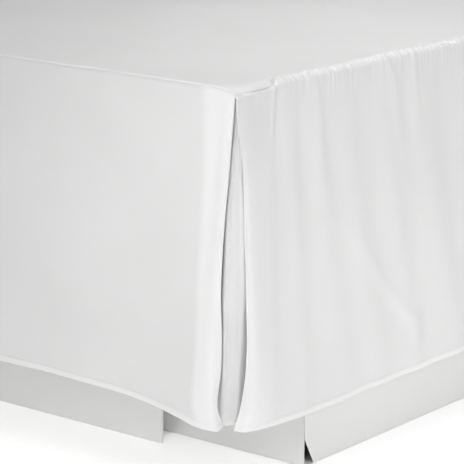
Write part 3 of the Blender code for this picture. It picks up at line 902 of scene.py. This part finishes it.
def sideHems(paint, along, down):
    side, bottom = hemMasks(paint, hemTone["side"], along, down, sidePanel["sideHem"], bed["sideDrop"])
    return paint.maths("MAXIMUM", side * paint.between(down, *hemTone["sideFrom"]), bottom)


footCotton = cottonMaterial("footCotton", footHems)
sideCotton = cottonMaterial("sideCotton", sideHems)
plainCotton = cottonMaterial("plainCotton")


def threadMaterial():
    paint = Paint("sewingThread")
    twist = paint.noise(paint.solidPlace(), 2500.0, 1.0)
    return paint.finish({
        "Base Color": paint.mixColour(twist, (0.8, 0.8, 0.79), (0.88, 0.88, 0.87)),
        "Roughness": 0.62 + twist * 0.1, "Sheen Weight": 0.1})


sewingThread = threadMaterial()
footSheet, footStitches = makeFootPanel(footCotton, sewingThread)
print("foot panel made", len(footSheet.data.polygons))
sheets = {"foot": footSheet}
stitches = {"foot": footStitches}
for side in sideSigns:
    pieceName = "sidePanel" + side.capitalize()
    sheets[side], stitches[side] = makeSidePanel(pieceName, side, sideCotton, sewingThread)
    sheets["under" + side] = makeUnderlay("underlay" + side.capitalize(), side, plainCotton)
    print(pieceName, "made", len(sheets[side].data.polygons))
deckSheet = makeDeck(plainCotton)
print("deck made", len(deckSheet.data.polygons))

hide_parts("foot_drop")
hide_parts("deck")
2 * bed["half"] + 0.10
bed["footDrop"] + 0.03
2 * bed["half"]
for side in sideSigns:
    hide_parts("side_drop_" + side)
    1.12 * bed["length"]
    bed["sideDrop"] + 0.03
    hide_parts("corner_underlay_" + side)
for piece in [deckSheet, *sheets.values(), *stitches.values()]:
    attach(piece, "root")


# the boards: the frame's shapes with eased edges and a painted finish
board = {
    "ease": 0.0011, "easeSegments": 3, "weld": 0.00005,
    "paint": (0.9, 0.9, 0.89), "paintThin": (0.86, 0.86, 0.85), "scuff": (0.8, 0.795, 0.78),
    "rollerScale": 420.0, "cloudScale": 9.0, "scuffScale": 34.0, "scuffed": (0.6, 0.78), "scuffShare": 0.25,
}


def boardMaterial():
    paint = Paint("boardPaint")
    place = paint.solidPlace()
    cloud = paint.noise(place, board["cloudScale"], 4.0, 0.6)
    scuffs = paint.between(paint.noise(place, board["scuffScale"], 5.0, 0.7), *board["scuffed"])
    tone = paint.mixColour(cloud, board["paintThin"], board["paint"])
    return paint.finish({
        "Base Color": paint.mixColour(scuffs * board["scuffShare"], tone, board["scuff"]),
        "Roughness": 0.46 + cloud * 0.14 + scuffs * 0.12,
        "Normal": paint.bump(0.35, 0.0002, paint.noise(place, board["rollerScale"], 3.0, 0.6))})


paintedBoard = boardMaterial()
boardNodes = [node for node in sorted(frame["nodes"]) if node.startswith(("plinth_", "fascia_"))]
for node in boardNodes:
    copy = placeObject(node.replace("_", "") + "Board", frame["nodes"][node].data.copy())
    copy.data.materials.clear()
    copy.data.materials.append(paintedBoard)
    weld = copy.modifiers.new("weld", "WELD")
    weld.merge_threshold = board["weld"]
    ease = copy.modifiers.new("eased edges", "BEVEL")
    ease.width, ease.segments, ease.limit_method = board["ease"], board["easeSegments"], "ANGLE"
    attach(copy, "root")
    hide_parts(node)
print("boards made", len(boardNodes))

# the foundation: a covered block with piped edges, drawn in a little between them
foundation = {
    "corner": 0.03, "cornerSteps": 10, "straightStep": 0.03,
    "piping": 0.0035, "hollow": 0.003, "bulge": 0.0012, "puckers": 0.0005,
    "topSink": 0.0015, "flange": 0.03, "levels": 15, "pucker": (61, 0.03, 1.0), "puckerSlant": 0.3,
    "turns": 11, "turned": 100, "offCord": 2.2,  # steps and degrees round each piped edge
}


def roundedLoop(low, high, radius):
    # points and outward directions round the block, in plan
    low, high = np.array(low)[:2], np.array(high)[:2]
    points, directions = [], []
    for number, corner in enumerate(((1, -1), (1, 1), (-1, 1), (-1, -1))):
        middle = (low + high) / 2 + np.array(corner) * ((high - low) / 2 - radius)
        for angle in np.linspace(number - 1, number, foundation["cornerSteps"]) * math.pi / 2:
            directions.append((math.cos(angle), math.sin(angle)))
            points.append(middle + radius * np.array(directions[-1]))
    loop, ways = [], []
    for point, after, direction in zip(points, points[1:] + points[:1], directions):
        count = max(1, round(np.linalg.norm(after - point) / foundation["straightStep"]))
        loop += [point + (after - point) * step / count for step in range(count)]
        ways += [direction] * count
    return np.array(loop), np.array(ways)


def makeFoundation(material):
    low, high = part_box("bed_foundation")
    loop, ways = roundedLoop(low, high, foundation["corner"])
    cord, flange, sink = [foundation[name] for name in ("piping", "flange", "topSink")]
    tall = high.z - low.z
    turns = np.radians(np.linspace(-foundation["turned"], foundation["turned"], foundation["turns"]))
    cordIn, cordUp = cord * (1 - np.cos(turns)), cord * np.sin(turns)
    edge = foundation["offCord"] * cord
    levels = np.linspace(edge, tall - edge, foundation["levels"])
    sides = foundation["hollow"] - foundation["bulge"] * np.sin(math.pi * levels / tall)
    inset = joined([flange], cordIn, sides, cordIn, [flange])
    heights = joined([sink], cord + cordUp, levels, tall - cord + cordUp, [tall - sink])
    ends = np.zeros(1 + len(turns))
    onSide = joined(ends, hump(levels / tall - 0.5, 0.5), ends)
    slanted = foundation["puckerSlant"] * heights[:, None]
    puckers = foundation["puckers"] * unevenness(travel(loop), slanted, *foundation["pucker"])
    depth = inset[:, None] + np.abs(puckers) * onSide[:, None]
    plan = loop - ways * depth[..., None]
    points = np.dstack((plan, np.broadcast_to((low.z + heights)[:, None], depth.shape))).reshape(-1, 3)
    rowCount, count = depth.shape
    faces = [[row + i, row + (i + 1) % count, row + count + (i + 1) % count, row + count + i]
             for row in range(0, (rowCount - 1) * count, count) for i in range(count)]
    faces += [list(range(count))[::-1], list(range((rowCount - 1) * count, rowCount * count))]
    return meshObject("foundationCover", points, faces, material)


def tickingMaterial():
    paint = Paint("tickingCloth")
    place = paint.solidPlace()
    ticking = paint.noise(place, 900.0, 2.0)
    tone = ticking * 0.6 + paint.noise(place, 14.0) * 0.4
    return paint.finish({
        "Base Color": paint.mixColour(tone, (0.68, 0.67, 0.64), (0.77, 0.76, 0.73)),
        "Roughness": 0.86 + ticking * 0.08, "Sheen Weight": 0.08,
        "Normal": paint.bump(0.4, 0.0003, ticking)})


foundationCover = makeFoundation(tickingMaterial())
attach(foundationCover, "root")
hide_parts("bed_foundation")
print("foundation made", len(foundationCover.data.polygons))

# floor, light and camera
# the floor glows though it is no lamp: painted light from below, held off under the bed as painted shade
studio = {
    "floorSize": 40.0, "floorTone": (0.9, 0.9, 0.9), "floorGlow": 0.444, "world": 0.0,
    "glowFrom": {"plinth_foot": (-0.004, 0.004), "plinth_fascia": (-0.042, -0.008)},  # none, full; no glow under the bed is painted shade on the floor there
}


def floorMaterial():
    paint = Paint("floorPaint")
    across, back = paint.firstTwo(paint.add("ShaderNodeNewGeometry", {}, {}, "Position"))
    aside = paint.maths("ABSOLUTE", across)
    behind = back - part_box("plinth_head")[1].y
    glowing = 1
    for node, limits in studio["glowFrom"].items():
        # no glow behind a board: painted shade on the floor under the bed
        low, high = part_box(node)
        away = paint.maths("MAXIMUM", paint.maths("MAXIMUM", aside - high.x, low.y - back), behind)
        glowing = glowing * paint.between(away, *limits)
    return paint.finish({
        "Base Color": studio["floorTone"], "Roughness": 0.8,
        # painted light: the floor's glow, left dark under the bed as painted shade
        "Emission Color": paint.mixColour(glowing, (0, 0, 0), (1, 1, 1)),
        "Emission Strength": studio["floorGlow"]})


floorPoints = [(x * studio["floorSize"], y * studio["floorSize"], 0)
               for x, y in ((-1, -1), (1, -1), (1, 1), (-1, 1))]
floor = meshObject("studioFloor", floorPoints, [(0, 1, 2, 3)], floorMaterial())

view = {
    "turn": math.radians(38.7), "tilt": math.radians(13.84), "distance": 2.6, "focalPixels": 2385.0,
    "cornerPixel": (234.5, 88.0), "imageSize": 464,
}
corner = Vector((bed["half"] - 0.002, bed["footY"] - 0.0018, bed["deckTop"]))


def placeCamera():
    turn, tilt = view["turn"], view["tilt"]
    ahead = Vector((-math.sin(turn) * math.cos(tilt), math.cos(turn) * math.cos(tilt), -math.sin(tilt)))
    right = Vector((math.cos(turn), math.sin(turn), 0))
    up = right.cross(ahead)
    aside, above = [(pixel - view["imageSize"] / 2) / view["focalPixels"] for pixel in view["cornerPixel"]]
    spot = corner - view["distance"] * (ahead + aside * right - above * up)
    lens = bpy.data.cameras.new("camera")
    lens.lens = view["focalPixels"] * lens.sensor_width / view["imageSize"]
    camera = placeObject("camera", lens)
    camera.matrix_world = Matrix.Translation(spot) @ Matrix((right, up, -ahead)).transposed().to_4x4()
    bpy.context.scene.camera = camera


placeCamera()

# name, place and aim from the deck's corner, side in metres, watts, spread in degrees
softboxes = (
    ("topLight", (0, 0, 2.2), (0, 0, 1.2), 1.6, 15.7, 180),
    ("topLightHead", (0, 1.2, 2.2), (0, 1.2, 1.2), 1.6, 12, 180),
    ("topLightSide", (1.2, 1.2, 2.2), (1.2, 1.2, 1.2), 1.6, 8.5, 180),
    ("highLeftLight", (-1.07, -0.9, 2.42), (0, 0, 0), 1.6, 13.2, 180),
    ("leftLight", (-1.86, -1.56, 1.4), (0, 0, 0), 1.6, 10.2, 180),
    ("lowFootLight", (0, -1.6, -0.08), (0, 0, -0.25), 0.7, 1.12, 100),
    ("lowSideLight", (1.39, 0.8, -0.08), (0, 0, -0.25), 0.7, 1.14, 100),
    ("footSpot", (0.71, -1.52, 0.65), (0.12, 0.09, -0.15), 0.6, 0.72, 38),
    ("sideSpot", (1.69, -0.7, 0.65), (0.2, 0.16, -0.15), 0.6, 0.48, 38),
    ("lowHeadLight", (-0.8, 4.6, -0.1), (-0.8, 2.1, -0.25), 0.7, 6, 100),
    ("lowFarLight", (-4.1, 1.1, -0.1), (-1.6, 1.1, -0.25), 0.7, 4, 100),
    ("deckSpot", (0.25, 0.8, 1.6), (-0.1, 0.5, 0), 0.6, 0.54, 50),
)
for name, place, aim, size, watts, spread in softboxes:
    lamp = bpy.data.lights.new(name, "AREA")
    lamp.energy, lamp.size, lamp.spread = watts, size, math.radians(spread)
    lampObject = placeObject(name, lamp)
    lampObject.location = corner + Vector(place)
    lampObject.rotation_euler = (Vector(aim) - Vector(place)).to_track_quat("-Z", "Y").to_euler()

world = bpy.data.worlds.new("studio")
bpy.context.scene.world = world
world.use_nodes = True
world.node_tree.nodes["Background"].inputs["Strength"].default_value = studio["world"]
bpy.context.scene.view_settings.view_transform = "Standard"
print("studio ready")
